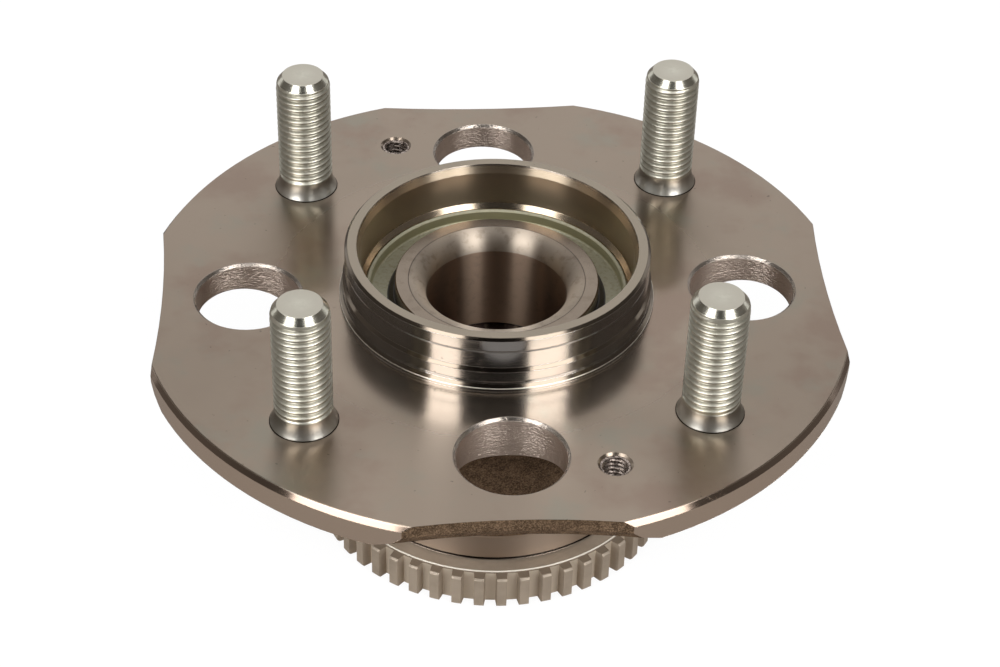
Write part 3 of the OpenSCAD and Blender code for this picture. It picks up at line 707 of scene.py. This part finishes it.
def floorFinish():
    material = bpy.data.materials.new("floor")
    material.use_nodes = True
    tree = material.node_tree
    tree.nodes.clear()
    radius = placeNodes(tree)["radius"]
    # Where the object covers it the floor is dark, a painted shadow, except in what faces it, such as the inboard
    # seal
    rays = addNode(tree, "ShaderNodeLightPath", {}).outputs
    firstDepth, halfStep = 1.0, 0.5
    fromFirst = calc(tree, "ABSOLUTE", calc(tree, "SUBTRACT", rays["Ray Depth"], firstDepth))
    facing = calc(tree, "LESS_THAN", fromFirst, halfStep)
    unshadowed = calc(tree, "MAXIMUM", facing, rise(tree, radius, *studio["paintedShadowR"]))
    level = rayLevel(tree, studio["floorGlow"], studio["floorGloss"], studio["floorBounce"])
    # The floor is white to the camera and tinted warm in reflections and bounce light, a painted reflection colour
    tint = blendColour(tree, rays["Is Camera Ray"], studio["reflectedFloorTint"], studio["white"])
    glow = addNode(tree, "ShaderNodeEmission", {0: tint, 1: times(tree, level, unshadowed)})
    matt = addNode(tree, "ShaderNodeBsdfDiffuse", {0: studio["floorMatt"]})
    solid = addNode(tree, "ShaderNodeAddShader", {0: glow.outputs[0], 1: matt.outputs[0]})
    # Clear from below, so that the underside can be looked at
    below = addNode(tree, "ShaderNodeNewGeometry", {}).outputs["Backfacing"]
    clear = addNode(tree, "ShaderNodeBsdfTransparent", {})
    either = addNode(tree, "ShaderNodeMixShader", {0: below, 1: solid.outputs[0], 2: clear.outputs[0]})
    addNode(tree, "ShaderNodeOutputMaterial", {0: either.outputs[0]})
    return material


def studioPiece(name, skin, material):
    mesh = bpy.data.meshes.new(name)
    skin.to_mesh(mesh)
    skin.free()
    piece = bpy.data.objects.new(name, mesh)
    scene.collection.objects.link(piece)
    dress(piece, material)
    return piece


def makeFloor():
    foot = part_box("tone_ring")[0].z
    flat = bmesh.new()
    bmesh.ops.create_circle(flat, cap_ends=True, segments=studio["floorSides"], radius=studio["floorR"] * mm)
    bmesh.ops.translate(flat, vec=(0, 0, foot), verts=flat.verts)
    floor = studioPiece("floor", flat, floorFinish())


def clothFinish(name):
    material, tree, shader = startFinish(name)
    place = placeNodes(tree)
    beside = calc(tree, "MAXIMUM", calc(tree, "ABSOLUTE", place["x"]), place["y"])
    dark = rise(tree, beside, *studio["greyX"], *studio["darkGlow"])
    outer = rise(tree, beside, *studio["greyX"], *studio["outerGlow"])
    glow = blendValue(tree, between(tree, place["z"], *studio["darkZ"]), outer, dark)
    setInputs(tree, shader, {"Base Color": studio["cloth"], "Roughness": 1.0,
                             "Emission Color": studio["clothGlow"], "Emission Strength": glow})
    return material


def makeCurtain(name, span, low, top):
    turn = Matrix.Rotation(math.radians(camera["azimuth"] - 90 - span / 2), 3, "Z")
    start = turn @ Vector((studio["curtainR"] * mm, 0, 0))
    wall = bmesh.new()
    foot, head = [wall.verts.new((start.x, start.y, level * mm)) for level in (low, top)]
    edge = wall.edges.new((foot, head))
    bmesh.ops.spin(wall, geom=[foot, head, edge], cent=(0, 0, 0), axis=(0, 0, 1), angle=math.radians(span),
                   steps=studio["curtainSteps"])
    curtain = studioPiece(name, wall, clothFinish(name))
    curtain.visible_camera = False
    curtain.visible_diffuse = False
    curtain.visible_shadow = False


def makeLamp(side):
    turn = math.radians(camera["azimuth"] - 90 + side * studio["lampSide"])
    way = Vector((math.cos(turn), math.sin(turn), 0))
    data = bpy.data.lights.new("soft_lamp", "AREA")
    data.shape, data.size = "RECTANGLE", studio["lampWide"] * mm
    data.size_y = (studio["lampTop"] - studio["lampLow"]) * mm
    data.energy = studio["lampWatts"]
    lamp = bpy.data.objects.new("soft_lamp", data)
    scene.collection.objects.link(lamp)
    middle = Vector((0, 0, (studio["lampLow"] + studio["lampTop"]) / 2))
    lamp.location = (way * studio["lampFar"] + middle) * mm
    lamp.rotation_euler = (-way).to_track_quat("-Z", "Y").to_euler()
    lamp.visible_camera = False


makeWorld()
makeFloor()
for settings in studio["curtains"]:
    makeCurtain(*settings)
for side in (-1, 1):
    makeLamp(side)
print("studio set")
